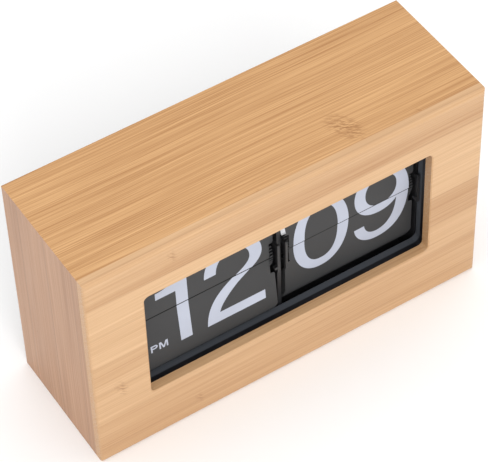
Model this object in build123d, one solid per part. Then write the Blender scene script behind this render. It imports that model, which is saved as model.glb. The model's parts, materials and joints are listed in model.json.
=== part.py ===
from build123d import *

import os
from dataclasses import dataclass
from math import acos, cos, degrees, pi, radians, sin, tan

# Flip number clock in a free-standing wooden box.
# Frame: +X to the right seen from the front, +Y to the back, +Z up, in millimetres.
# The origin is under the middle of the box, on the surface it stands on.
# "Depth" always means the distance behind the front face.

# ---------------------------------------------------------------- driving sizes
# Wooden box
case_width = 205.0
case_depth = 68.8
case_height = 120.5
board_thickness = 9.0
front_thickness = 5.0
front_edge_radius = 2.0
window_width = 149.1
window_height = 64.1
window_bottom = 31.0
window_corner_radius = 2.5
window_arris = 0.5
corner_block_size = 11.0
corner_block_length = 14.0

# Leaves and drums
split_height = 64.25
leaf_setback = 12.3
leaf_width = 69.5
leaf_gap = 6.25
display_shift = 0.9
leaf_length = 30.0
leaf_thickness = 0.25
leaf_spacing = 0.33
leaf_corner_radius = 1.2
leaf_notch_width = 2.2
leaf_notch_height = 8.5
leaf_pin_radius = 0.4
split_gap = 0.4
hinge_radius = 13.0
minute_leaf_count = 60
hour_leaf_count = 48
upper_lean = 2.0
upper_back_lean = 46.0
minute_lower_lean = 0.5
hour_lower_lean = -6.0
lower_back_lean = 19.0
leaf_fall_margin = 1.0
drum_radius = 11.2
drum_flange = 1.0
drum_hub_radius = 4.4
drum_rim = 2.2
drum_spoke_width = 2.4
drum_spoke_count = 5

# Shafts and gears
axle_radius = 1.5
post_radius = 1.25
post_head_radius = 2.4
post_head_height = 1.2
running_clearance = 0.05
side_clearance = 0.3
gear_module = 0.6
pressure_angle = 30.0
tooth_thinning = 0.07
addendum = 0.80
dedendum = 1.10
gear_thickness = 2.2
gear_gap = 0.8
plate_gap = 1.8
cannon_teeth = 14
compound_large_teeth = 56
compound_small_teeth = 10
hour_wheel_teeth = 60
minute_wheel_teeth = 60
motor_pinion_teeth = 10
setting_pinion_teeth = 15
compound_angle = 60.0
motor_angle = 255.0
setting_angle = 0.0
sleeve_wall = 1.6

# Movement frame
plate_thickness = 2.0
plate_front = 12.7
plate_back = 59.5
plate_corner_radius = 4.0
movement_base_thickness = 3.0
movement_base_back = 45.5
base_boss_height = 3.0
base_boss_radius = 4.0
plate_top_margin = 4.5
tie_rod_radius = 1.5
catch_thickness = 1.2
catch_clearance = 0.4
catch_reach = 9.0
catch_front = 9.4
catch_foot = 1.5
catch_foot_height = 1.4
spring_tip_rise = 16.0  # release spring: its tip above the split, its root below the ceiling
spring_root_drop = 12.0
spring_bend_rise = 14.5
spring_blade_thickness = 0.35
spring_overhang = 0.3
spring_tip_corners = ((9.2, 0.4), (8.6, 0.0), (8.4, 0.4), (8.9, 0.9))  # depth, height above the tip
catch_foot_drop = 5.4
catch_bar_depth = 1.6
catch_arm_height = 2.4
catch_arm_drop = 2.0
catch_arm_back = 3.0
bezel_recess = 1.0
bezel_wall = 1.5
bezel_depth = 6.5
bezel_flange = 4.0
bezel_flange_thickness = 1.2

# Drive
motor_radius = 12.0
motor_length = 8.5
motor_ear_radius = 2.5
motor_ear_reach = 15.0
motor_ear_angles = (250.0, 290.0)
motor_ear_thickness = 1.5
motor_shaft_radius = 1.0
motor_shaft_reach = 3.0
motor_standoff_radius = 2.0
thumbwheel_radius = 20.0
thumbwheel_thickness = 4.0
thumbwheel_knurls = 60
thumbwheel_proud = 1.0

# Back and battery compartment
cover_thickness = 2.5
cover_clearance = 0.3
cover_corner_radius = 3.0
cell_radius = 7.1
cell_length = 49.5
cell_nub_radius = 2.75
cell_nub_length = 1.0
cell_clearance = 0.3
contact_room = 3.5
contact_thickness = 0.4
spring_wire_radius = 0.35
tray_wall = 1.5
door_ledge = 2.0
door_thickness = 1.6
door_clearance = 0.25
screw_head_radius = 2.8
screw_head_height = 1.6
screw_shank_radius = 1.4
screw_slot_width = 0.7
board_panel = 1.6
board_width = 24.0
board_length = 28.0

# ---------------------------------------------------------------- worked-out places
front_y = -case_depth / 2
inner_half_width = case_width / 2 - board_thickness
floor_z = board_thickness
ceiling_z = case_height - board_thickness
window_centre_z = window_bottom + window_height / 2
axle_y = front_y + leaf_setback + hinge_radius
axle_z = split_height


def at_depth(depth):
    """Y of a plane that lies this far behind the front face."""
    return front_y + depth


@dataclass
class Module:
    """One display: the leaves of the hours or of the minutes, and where they sit along X."""

    name: str
    left: float
    right: float
    leaves: int
    lower_lean: float

    @property
    def pitch(self):
        return 360 / self.leaves


hour_right = display_shift - leaf_gap / 2
minute_left = display_shift + leaf_gap / 2
hours = Module("hour", hour_right - leaf_width, hour_right, hour_leaf_count, hour_lower_lean)
minutes = Module("minute", minute_left, minute_left + leaf_width, minute_leaf_count, minute_lower_lean)

catch_room = catch_clearance + catch_thickness + catch_clearance
hour_plate_right = hours.left - catch_room
hour_plate_left = hour_plate_right - plate_thickness
minute_plate_left = minutes.right + catch_room
minute_plate_right = minute_plate_left + plate_thickness
centre_plate_left = display_shift - plate_thickness / 2
centre_plate_right = display_shift + plate_thickness / 2

setting_distance = gear_module * (minute_wheel_teeth + setting_pinion_teeth) / 2
setting_depth = leaf_setback + hinge_radius + setting_distance * cos(radians(setting_angle))
cover_rear_depth = setting_depth + thumbwheel_radius - thumbwheel_proud
cover_front_depth = cover_rear_depth - cover_thickness
base_top_z = floor_z + base_boss_height + movement_base_thickness


# ---------------------------------------------------------------- drawing helpers
def block(x_range, y_range, z_range):
    """Box between two corners."""
    sizes = [high - low for low, high in (x_range, y_range, z_range)]
    middle = [(high + low) / 2 for low, high in (x_range, y_range, z_range)]
    return Pos(*middle) * Box(*sizes)


def shaft_plane(x, y=axle_y, z=axle_z):
    """Plane across a shaft that runs along X; its own x is +Y and its own y is +Z."""
    return Plane(origin=(x, y, z), x_dir=(0, 1, 0), z_dir=(1, 0, 0))


def rod(x_range, y, z, radius, bore=0.0):
    """Round bar or tube along X."""
    profile = Circle(radius)
    if bore:
        profile -= Circle(bore)
    return extrude(shaft_plane(x_range[0], y, z) * profile, x_range[1] - x_range[0])


def pin_along_y(x, z, y_range, radius):
    """Round bar along Y."""
    plane = Plane(origin=(x, y_range[0], z), x_dir=(1, 0, 0), z_dir=(0, 1, 0))
    return extrude(plane * Circle(radius), y_range[1] - y_range[0])


def pin_along_z(x, y, z_range, radius):
    """Round bar along Z."""
    return Pos(x, y, (z_range[0] + z_range[1]) / 2) * Cylinder(radius, z_range[1] - z_range[0])


def front_frame(half_width, z_range, hole_half_width, hole_z, depths, radius, hole_radius):
    """Rectangular ring that faces the front, between two depths."""
    plane = Plane(origin=(0, at_depth(depths[1]), 0), x_dir=(1, 0, 0), z_dir=(0, -1, 0))
    outside = Pos(0, sum(z_range) / 2) * RectangleRounded(2 * half_width, z_range[1] - z_range[0], radius)
    hole = Pos(0, sum(hole_z) / 2) * RectangleRounded(2 * hole_half_width, hole_z[1] - hole_z[0], hole_radius)
    return extrude(plane * (outside - hole), depths[1] - depths[0])


def polar(radius, angle):
    """Point at a radius and an angle in degrees."""
    return (radius * cos(radians(angle)), radius * sin(radians(angle)))


def spur_sketch(teeth, phase):
    """Outline of a spur wheel with one tooth centred at the angle phase, in degrees."""
    pitch_radius = gear_module * teeth / 2
    base_radius = pitch_radius * cos(radians(pressure_angle))
    tip_radius = pitch_radius + addendum * gear_module
    root_radius = pitch_radius - dedendum * gear_module

    def involute(radius):
        slope = acos(min(1.0, base_radius / radius))
        return tan(slope) - slope

    def half_tooth(radius):
        at_pitch = pi / (2 * teeth) - tooth_thinning / (2 * pitch_radius)
        return degrees(at_pitch + involute(pitch_radius) - involute(max(radius, base_radius)))

    flank = [root_radius, max(root_radius + 0.02, (root_radius + pitch_radius) / 2), pitch_radius, tip_radius]
    points = []
    for tooth in range(teeth):
        middle = phase + 360 * tooth / teeth
        points += [polar(radius, middle - half_tooth(radius)) for radius in flank]
        points += [polar(radius, middle + half_tooth(radius)) for radius in reversed(flank)]
    return make_face(Polyline(*points, close=True))


def spur_gear(teeth, phase, x_range, y=axle_y, z=axle_z, bore=0.0, holes=0):
    """Spur wheel along X; a large one has round holes in its web to save material."""
    sketch = spur_sketch(teeth, phase)
    if bore:
        sketch -= Circle(bore)
    if holes:
        web_radius = gear_module * teeth / 2 * 0.62
        sketch -= PolarLocations(web_radius, holes) * Circle(web_radius * 0.26)
    return extrude(shaft_plane(x_range[0], y, z) * sketch, x_range[1] - x_range[0])


def meshed_phase(driver_teeth, driver_phase, direction, teeth):
    """Phase that puts a space of the driven wheel opposite a tooth of its driver.

    direction is the angle from the driver's axis to the driven wheel's axis.
    """
    share = (direction - driver_phase) * driver_teeth / 360
    return direction + 180 - (0.5 - share) * 360 / teeth


def mesh_centre(teeth_a, teeth_b, direction, y=axle_y, z=axle_z):
    """Axis of a wheel that meshes with another, in a direction given in degrees."""
    distance = gear_module * (teeth_a + teeth_b) / 2
    return y + distance * cos(radians(direction)), z + distance * sin(radians(direction))


def group(pieces):
    """Separate solids that share one node."""
    return Compound(children=[piece.solid() for piece in pieces])


def screw(x, y, z, facing, length):
    """Pan-head screw with a cross slot; its head sits at the point and looks along facing."""
    across = (0, 1, 0) if facing[0] else (1, 0, 0)
    seat = Plane(origin=(x, y, z), x_dir=across, z_dir=facing)
    head = extrude(seat * Circle(screw_head_radius), screw_head_height)
    shank = extrude(seat * Circle(screw_shank_radius), -length)
    slot_length = screw_head_radius * 1.3
    cross = Rectangle(slot_length, screw_slot_width) + Rectangle(screw_slot_width, slot_length)
    cut = extrude(seat.offset(screw_head_height) * cross, -screw_head_height / 2)
    return head + shank - cut


# ---------------------------------------------------------------- wooden box
def board(points):
    """Mitred board whose end is drawn in X and Z; it runs from the front panel to the back."""
    plane = Plane(origin=(0, at_depth(case_depth), 0), x_dir=(1, 0, 0), z_dir=(0, -1, 0))
    return extrude(plane * make_face(Polyline(*points, close=True)), case_depth - front_thickness)


def make_box():
    """Front panel with its window, four mitred boards and the blocks that hold the back cover."""
    half = case_width / 2
    inner = inner_half_width
    panel = block((-half, half), (front_y, at_depth(front_thickness)), (0, case_height))
    panel = fillet(panel.faces().sort_by(Axis.Y)[0].edges(), front_edge_radius)
    plane = Plane(origin=(0, at_depth(front_thickness), window_centre_z), x_dir=(1, 0, 0), z_dir=(0, -1, 0))
    opening = RectangleRounded(window_width, window_height, window_corner_radius)
    panel -= extrude(plane * opening, front_thickness)
    panel = chamfer(panel.faces().sort_by(Axis.Y)[0].inner_wires()[0].edges(), window_arris)

    top, bottom = case_height, 0.0
    boards = {
        "top_board": [(-half, top), (half, top), (inner, ceiling_z), (-inner, ceiling_z)],
        "bottom_board": [(-half, bottom), (half, bottom), (inner, floor_z), (-inner, floor_z)],
        "left_board": [(-half, bottom), (-half, top), (-inner, ceiling_z), (-inner, floor_z)],
        "right_board": [(half, bottom), (half, top), (inner, ceiling_z), (inner, floor_z)],
    }
    nodes = {name: board(points) for name, points in boards.items()}
    nodes["bottom_board"] -= group(
        [pin_along_z(x, y, (0.4 * floor_z, floor_z), screw_shank_radius) for x, y in base_screw_places()]
    )
    nodes["front_panel"] = panel

    blocks = []
    for x, z in corner_places():
        reach = corner_block_size / 2
        depths = (at_depth(cover_front_depth - corner_block_length), at_depth(cover_front_depth))
        piece = block((x - reach, x + reach), depths, (z - reach, z + reach))
        blocks.append(piece - pin_along_y(x, z, depths, screw_shank_radius))
    nodes["corner_blocks"] = group(blocks)
    return nodes


def corner_places():
    """Middles of the four corner blocks in X and Z."""
    x = inner_half_width - corner_block_size / 2
    low = floor_z + corner_block_size / 2
    high = ceiling_z - corner_block_size / 2
    return [(side * x, z) for side in (-1, 1) for z in (low, high)]


def base_screw_places():
    """Screws that hold the movement's base to the bottom board, in X and Y."""
    inset = 3 * base_boss_radius
    columns = (hour_plate_right + inset, minute_plate_left - inset)
    rows = (at_depth(plate_front + base_boss_radius), at_depth(movement_base_back - base_boss_radius))
    return [(x, y) for x in columns for y in rows]


def make_bezel():
    """Black liner behind the window, with a flange against the front panel, and its screws."""
    half = window_width / 2 + bezel_recess
    low, high = window_bottom - bezel_recess, window_bottom + window_height + bezel_recess
    start, end = front_thickness, front_thickness + bezel_depth
    flange_end = front_thickness + bezel_flange_thickness
    radius = window_corner_radius + bezel_recess

    def ring(grow, depths):
        return front_frame(
            half + grow, (low - grow, high + grow), half, (low, high), depths, radius + grow, radius
        )

    liner = ring(bezel_wall, (start, end)) + ring(bezel_wall + bezel_flange, (start, flange_end))
    return {"bezel_frame": liner}


# ---------------------------------------------------------------- leaves
def leaf_seats(module, side):
    """Where each leaf of a fan sits: its hinge in Y and Z and its lean to the back, in degrees.

    side is +1 for the leaves that wait above the split and -1 for those that have fallen. Each leaf
    rests on the one in front of it, so near the split its pins are pushed in from the hinge circle.
    """
    if side > 0:
        first_lean, last_lean = upper_lean, upper_back_lean
    else:
        first_lean, last_lean = module.lower_lean, lower_back_lean
    count = module.leaves // 2
    rise = hinge_radius * sin(radians(module.pitch / 2))
    y = axle_y - hinge_radius * cos(radians(module.pitch / 2))
    height, lean = rise, first_lean
    if side < 0:
        height, lean = -rise, module.lower_lean - leaf_fall_margin
    seats = []
    for index in range(count):
        turn = radians(module.pitch * (index + 0.5))
        next_height = hinge_radius * sin(turn)
        if index or side < 0:
            resting = y + (next_height - height) * tan(radians(lean)) + leaf_spacing / cos(radians(lean))
            y = max(axle_y - hinge_radius * cos(turn), resting)
        height = next_height
        lean = first_lean + (last_lean - first_lean) * index / (count - 1)
        seats.append((y, axle_z + side * height, lean))
    return seats


def leaf_blank(module):
    """One leaf, upright, with its hinge axis on X: notched beside its two hinge pins."""
    hinge_step = hinge_radius * sin(radians(module.pitch / 2))
    above = leaf_length - hinge_step
    below = hinge_step - split_gap / 2
    left, right = module.left, module.right
    plane = Plane(origin=(0, leaf_thickness / 2, 0), x_dir=(1, 0, 0), z_dir=(0, -1, 0))
    outline = Pos((left + right) / 2, (above + leaf_notch_height) / 2) * RectangleRounded(
        right - left, above - leaf_notch_height, leaf_corner_radius
    )
    neck_height = leaf_notch_height + 2 * leaf_corner_radius + below
    outline += Pos((left + right) / 2, neck_height / 2 - below) * Rectangle(
        right - left - 2 * leaf_notch_width, neck_height
    )
    plate = extrude(plane * outline, leaf_thickness)
    pin_length = leaf_notch_width - side_clearance
    tab = Rectangle(pin_length, 1.2 * leaf_pin_radius)
    for middle in (left + side_clearance + pin_length / 2, right - side_clearance - pin_length / 2):
        plate += extrude(plane * Pos(middle, 0) * tab, leaf_thickness)
        plate += rod((middle - pin_length / 2, middle + pin_length / 2), 0, 0, leaf_pin_radius)
    return plate


def make_leaves(module):
    """The shown halves, the leaf that shows next, and the rest of both fans in one node."""
    blank = leaf_blank(module)
    upper = [Pos(0, y, z) * Rot(-lean, 0, 0) * blank for y, z, lean in leaf_seats(module, 1)]
    lower = [Pos(0, y, z) * Rot(180 + lean, 0, 0) * blank for y, z, lean in leaf_seats(module, -1)]
    return {
        f"{module.name}_leaf_upper": upper[0],
        f"{module.name}_leaf_next": upper[1],
        f"{module.name}_leaf_lower": lower[0],
        f"{module.name}_leaf_stack": group(upper[2:] + lower[1:]),
    }


# ---------------------------------------------------------------- drums
def drum_flange_sketch(module):
    """Spoked disc with one shallow notch in its rim for each leaf."""
    rim = Circle(drum_radius) - Circle(drum_radius - drum_rim)
    hub = Circle(drum_hub_radius + 1.0)
    spokes = PolarLocations(0, drum_spoke_count) * (
        Pos((drum_radius - 1) / 2, 0) * Rectangle(drum_radius - 1, drum_spoke_width)
    )
    notches = PolarLocations(drum_radius, module.leaves) * Circle(0.8 * leaf_pin_radius)
    return rim + hub + spokes - notches


def drum_flanges(module):
    """Both flanges of a drum, inside the notches of its leaves."""
    sketch = drum_flange_sketch(module)
    starts = (module.left + 2 * side_clearance, module.right - 2 * side_clearance - drum_flange)
    return [extrude(shaft_plane(start) * sketch, drum_flange) for start in starts]


def make_minute_drum():
    """Minute drum, fixed to the axle."""
    hub_x = (centre_plate_right + side_clearance, minute_plate_left - side_clearance)
    drum = rod(hub_x, axle_y, axle_z, drum_hub_radius)
    for flange in drum_flanges(minutes):
        drum += flange
    return drum - rod((centre_plate_right, minute_plate_left), axle_y, axle_z, axle_radius)


sleeve_bore = axle_radius + running_clearance
sleeve_radius = sleeve_bore + sleeve_wall
hour_wheel_x = (hour_plate_left - plate_gap - gear_thickness, hour_plate_left - plate_gap)
compound_wheel_x = (hour_wheel_x[0] - gear_gap - gear_thickness, hour_wheel_x[0] - gear_gap)
minute_wheel_x = (minute_plate_right + plate_gap, minute_plate_right + plate_gap + gear_thickness)
motor_face_x = minute_wheel_x[1] + gear_gap
pinion_overlap = side_clearance
axle_x = (compound_wheel_x[0] - 2 * pinion_overlap, minute_wheel_x[1] + 2 * pinion_overlap)


def make_hour_drum():
    """Hour drum: it turns freely on the axle, and its sleeve passes through the hour side plate."""
    hub_x = (hour_plate_right + side_clearance, centre_plate_left - side_clearance)
    sleeve_x = (hour_wheel_x[0], hour_plate_right + 2 * side_clearance)
    drum = rod(hub_x, axle_y, axle_z, drum_hub_radius) + rod(sleeve_x, axle_y, axle_z, sleeve_radius)
    for flange in drum_flanges(hours):
        drum += flange
    return drum - rod((hour_wheel_x[0] - 1, centre_plate_left), axle_y, axle_z, sleeve_bore)


# ---------------------------------------------------------------- gears
def make_gears():
    """Motion work on the left (24 to 1), and the drive and setting wheels on the right."""
    nodes = {}
    nodes["minute_wheel"] = spur_gear(minute_wheel_teeth, 0, minute_wheel_x, bore=axle_radius, holes=6)
    cannon_x = (compound_wheel_x[0] - pinion_overlap, compound_wheel_x[1] + pinion_overlap)
    nodes["cannon_pinion"] = spur_gear(cannon_teeth, 0, cannon_x, bore=axle_radius)

    large_phase = meshed_phase(cannon_teeth, 0, compound_angle, compound_large_teeth)
    y, z = mesh_centre(cannon_teeth, compound_large_teeth, compound_angle)
    bore = post_radius + running_clearance
    large = spur_gear(compound_large_teeth, large_phase, compound_wheel_x, y, z, bore, holes=6)
    small_x = (compound_wheel_x[1], hour_wheel_x[1] + pinion_overlap)
    small = spur_gear(compound_small_teeth, 0, small_x, y, z, bore)
    nodes["compound_wheel"] = large + small
    stop = compound_wheel_x[0] - side_clearance
    post = rod((stop, hour_plate_left), y, z, post_radius)
    nodes["compound_post"] = post + rod((stop - post_head_height, stop), y, z, post_head_radius)

    hour_phase = meshed_phase(compound_small_teeth, 0, compound_angle + 180, hour_wheel_teeth)
    nodes["hour_wheel"] = spur_gear(hour_wheel_teeth, hour_phase, hour_wheel_x, bore=sleeve_radius, holes=6)

    pinion_x = (minute_wheel_x[0] - pinion_overlap, minute_wheel_x[1] + pinion_overlap)
    y, z = mesh_centre(minute_wheel_teeth, motor_pinion_teeth, motor_angle)
    phase = meshed_phase(minute_wheel_teeth, 0, motor_angle, motor_pinion_teeth)
    pinion = spur_gear(motor_pinion_teeth, phase, pinion_x, y, z)
    shaft_x = (pinion_x[1], motor_face_x + motor_shaft_reach)
    nodes["motor_pinion"] = pinion + rod(shaft_x, y, z, motor_shaft_radius)

    y, z = mesh_centre(minute_wheel_teeth, setting_pinion_teeth, setting_angle)
    phase = meshed_phase(minute_wheel_teeth, 0, setting_angle, setting_pinion_teeth)
    wheel_x = (motor_face_x, motor_face_x + thumbwheel_thickness)
    pinion = spur_gear(setting_pinion_teeth, phase, (pinion_x[0], wheel_x[0]), y, z, bore)
    rim = Circle(thumbwheel_radius) - PolarLocations(thumbwheel_radius, thumbwheel_knurls) * Circle(0.45)
    rim -= Circle(bore)
    wheel = extrude(shaft_plane(wheel_x[0], y, z) * rim, thumbwheel_thickness)
    nodes["setting_wheel"] = pinion + wheel
    stop = wheel_x[1] + side_clearance
    post = rod((minute_plate_right, stop), y, z, post_radius)
    nodes["setting_post"] = post + rod((stop, stop + post_head_height), y, z, post_head_radius)
    nodes["axle"] = rod(axle_x, axle_y, axle_z, axle_radius)
    return nodes



def make_motor():
    """Sealed gear motor on two pillars, with its screws."""
    y, z = mesh_centre(minute_wheel_teeth, motor_pinion_teeth, motor_angle)
    ears = [polar(motor_ear_reach, angle) for angle in motor_ear_angles]
    arm = Pos(motor_ear_reach / 2, 0) * Rectangle(motor_ear_reach, 2 * motor_ear_radius)
    sketch = Circle(motor_radius)
    for (dy, dz), angle in zip(ears, motor_ear_angles):
        sketch += Rot(0, 0, angle) * arm
        sketch += Pos(dy, dz) * Circle(motor_ear_radius)
    body = rod((motor_face_x, motor_face_x + motor_length), y, z, motor_radius)
    body += extrude(shaft_plane(motor_face_x, y, z) * sketch, motor_ear_thickness)
    bore_end = motor_face_x + motor_shaft_reach + 0.5
    body -= rod((motor_face_x, bore_end), y, z, motor_shaft_radius + running_clearance)
    pillars, screws = [], []
    for dy, dz in ears:
        place = (y + dy, z + dz)
        tip = motor_face_x + motor_ear_thickness
        body -= rod((motor_face_x, tip), *place, screw_shank_radius)
        pillar = rod((minute_plate_right, motor_face_x), *place, motor_standoff_radius)
        pillars.append(pillar - rod((minute_plate_right, motor_face_x), *place, screw_shank_radius))
        screws.append(screw(tip, *place, (1, 0, 0), motor_ear_thickness + 3.0))
    return {"drive_motor": body, "motor_pillars": group(pillars), "motor_screws": group(screws)}


# ---------------------------------------------------------------- movement frame
def tie_rod_places():
    """Depth and height of the rods that tie the three plates together."""
    return [
        (plate_front + 2.2, base_top_z + 8.0),
        (plate_front + 2.2, ceiling_z - 10.5),
        (plate_back - 3.5, ceiling_z - 8.0),
        (movement_base_back - 2.0, base_top_z + 6.5),
    ]


def side_plate(left, bore, clear_of_battery=False, tie_holes=False):
    """Upright plate across the axle."""
    height = ceiling_z - plate_top_margin - base_top_z
    depth = plate_back - plate_front
    middle_y = at_depth((plate_front + plate_back) / 2)
    plane = shaft_plane(left, middle_y, base_top_z + height / 2)
    plate = extrude(plane * RectangleRounded(depth, height, plate_corner_radius), plate_thickness)
    foot = block(
        (left, left + plate_thickness), (at_depth(plate_front + 1), at_depth(movement_base_back)),
        (base_top_z, base_top_z + plate_corner_radius),
    )
    plate += foot
    span = (left - 1, left + plate_thickness + 1)
    plate -= rod(span, axle_y, axle_z, bore)
    if clear_of_battery:
        high = tray_outer_z()[1]
        y_range = (at_depth(tray_front_depth() - 1.5), at_depth(plate_back + 1))
        plate -= block(span, y_range, (base_top_z, high + 1.5))
    if tie_holes:
        for depth, z in tie_rod_places():
            plate -= rod(span, at_depth(depth), z, tie_rod_radius + running_clearance)
    return plate


def leaf_catch(edge, outward, plate_face):
    """Finger beside a leaf; edge is the leaf's side, outward is +1 or -1, away from the leaf.

    Its foot reaches into the leaf's notch in front of the hinge, so it never meets a falling leaf.
    """
    near = edge + outward * catch_clearance
    far = near + outward * catch_thickness
    bar_depths = (at_depth(catch_front), at_depth(catch_front + catch_bar_depth))
    bar = block(sorted((near, far)), bar_depths, (split_height - catch_reach, split_height + catch_reach))
    bar = fillet(bar.edges().filter_by(Axis.X), 0.7)
    arm_back = at_depth(plate_front + catch_arm_back)
    arm_z = split_height + catch_reach - catch_arm_drop
    arm_height = (arm_z - catch_arm_height / 2, arm_z + catch_arm_height / 2)
    arm = block(sorted((near, far)), (bar_depths[0] + 0.7, arm_back), arm_height)
    pad = block(sorted((far, plate_face)), (arm_back - catch_arm_height, arm_back), arm_height)
    foot_z = split_height - catch_foot_drop
    foot = block(
        sorted((far, near - outward * catch_foot)), bar_depths,
        (foot_z - catch_foot_height / 2, foot_z + catch_foot_height / 2),
    )
    foot = fillet(foot.edges().filter_by(Axis.Y), 0.5)
    return bar + arm + pad + foot



def release_spring():
    """Steel blade bent forward from the centre plate; its tip holds back the next minute leaf."""
    tip_z = split_height + spring_tip_rise
    root_z = ceiling_z - spring_root_drop
    thin_front = plate_front - spring_blade_thickness
    blade = [(plate_front, root_z), (plate_front, tip_z + spring_bend_rise)]
    blade += [(depth, tip_z + rise) for depth, rise in spring_tip_corners]
    blade += [(thin_front, tip_z + spring_bend_rise + 0.1), (thin_front, root_z)]
    section = make_face(Polyline(*[(at_depth(depth) - axle_y, z - axle_z) for depth, z in blade], close=True))
    return extrude(shaft_plane(centre_plate_left) * section, plate_thickness + spring_overhang)


def make_movement_frame():
    """Base, three plates, tie rods, leaf catches and the release spring."""
    nodes = {}
    base = block(
        (hour_plate_left, minute_plate_right), (at_depth(plate_front), at_depth(movement_base_back)),
        (base_top_z - movement_base_thickness, base_top_z),
    )
    for x, y in base_screw_places():
        base += pin_along_z(x, y, (floor_z, base_top_z - 1), base_boss_radius)
    for x, y in base_screw_places():
        base -= pin_along_z(x, y, (floor_z, base_top_z), screw_shank_radius)
    nodes["movement_base"] = base
    nodes["base_screws"] = group(
        [screw(x, y, base_top_z, (0, 0, 1), base_top_z - 0.5 * floor_z) for x, y in base_screw_places()]
    )
    nodes["hour_side_plate"] = side_plate(hour_plate_left, sleeve_radius + running_clearance)
    nodes["centre_plate"] = side_plate(centre_plate_left, axle_radius + running_clearance, True, True)
    nodes["minute_side_plate"] = side_plate(minute_plate_left, axle_radius + running_clearance)
    rod_x = (hour_plate_right, minute_plate_left)
    nodes["tie_rods"] = group(
        [rod(rod_x, at_depth(depth), z, tie_rod_radius) for depth, z in tie_rod_places()]
    )
    left_catch = leaf_catch(hours.left, -1, hour_plate_right)
    right_catch = leaf_catch(hours.right, 1, centre_plate_left)
    nodes["hour_leaf_catches"] = group([left_catch, right_catch])
    left_catch = leaf_catch(minutes.left, -1, centre_plate_right)
    right_catch = leaf_catch(minutes.right, 1, minute_plate_left)
    nodes["minute_leaf_catches"] = group([left_catch, right_catch])
    nodes["release_spring"] = release_spring()
    return nodes


# ---------------------------------------------------------------- battery compartment and back
def cell_depth():
    """Depth of the cells' axis."""
    return cover_front_depth - cell_clearance - cell_radius


def cell_z():
    """Height of the cells' axis."""
    return floor_z + 1.5 + tray_wall + cell_clearance + cell_radius


def tray_front_depth():
    """Depth of the tray's front wall, outside."""
    return cell_depth() - cell_radius - cell_clearance - tray_wall


def tray_inner_half():
    """Half the length of the space for two cells in line, with their contacts."""
    return cell_length + cell_nub_length + contact_room


def tray_outer_z():
    """Lowest and highest point of the tray."""
    reach = cell_radius + cell_clearance + tray_wall
    return cell_z() - reach, cell_z() + reach


def make_battery_parts():
    """Tray, two cells in line, contact plates and spring."""
    nodes = {}
    low, high = tray_outer_z()
    half = tray_inner_half()
    front = at_depth(tray_front_depth())
    back = at_depth(cover_front_depth)
    tray = block((-half - tray_wall, half + tray_wall), (front, back), (low, high))
    tray -= block((-half, half), (front + tray_wall, back), (low + tray_wall, high - tray_wall))
    nodes["battery_tray"] = tray
    y, z = at_depth(cell_depth()), cell_z()
    cells = []
    for start in (-cell_length - cell_nub_length, 0.0):
        body = rod((start, start + cell_length), y, z, cell_radius)
        body = fillet(body.edges(), 0.5)
        nub = rod((start + cell_length, start + cell_length + cell_nub_length), y, z, cell_nub_radius)
        cells.append(body + nub)
    nodes["battery_cells"] = group(cells)
    spring_end = -cell_length - cell_nub_length
    plate_reach = cell_radius - 1.5
    plates = []
    for x_range in ((-half, -half + contact_thickness), (half - contact_thickness, half)):
        plates.append(block(x_range, (y - plate_reach, y + plate_reach), (z - plate_reach, z + plate_reach)))
    dimple = (cell_length + cell_nub_length, half - contact_thickness)
    plates[1] += rod(dimple, y, z, cell_nub_radius)
    nodes["battery_contacts"] = group(plates)
    start = -half + contact_thickness + spring_wire_radius
    height = spring_end - spring_wire_radius - start
    path = Helix(pitch=height / 3, height=height, radius=3.6, center=(start, y, z), direction=(1, 0, 0))
    section = Plane(origin=path @ 0, z_dir=path % 0) * Circle(spring_wire_radius)
    nodes["battery_spring"] = sweep(section, path=path, is_frenet=True)
    return nodes


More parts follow.
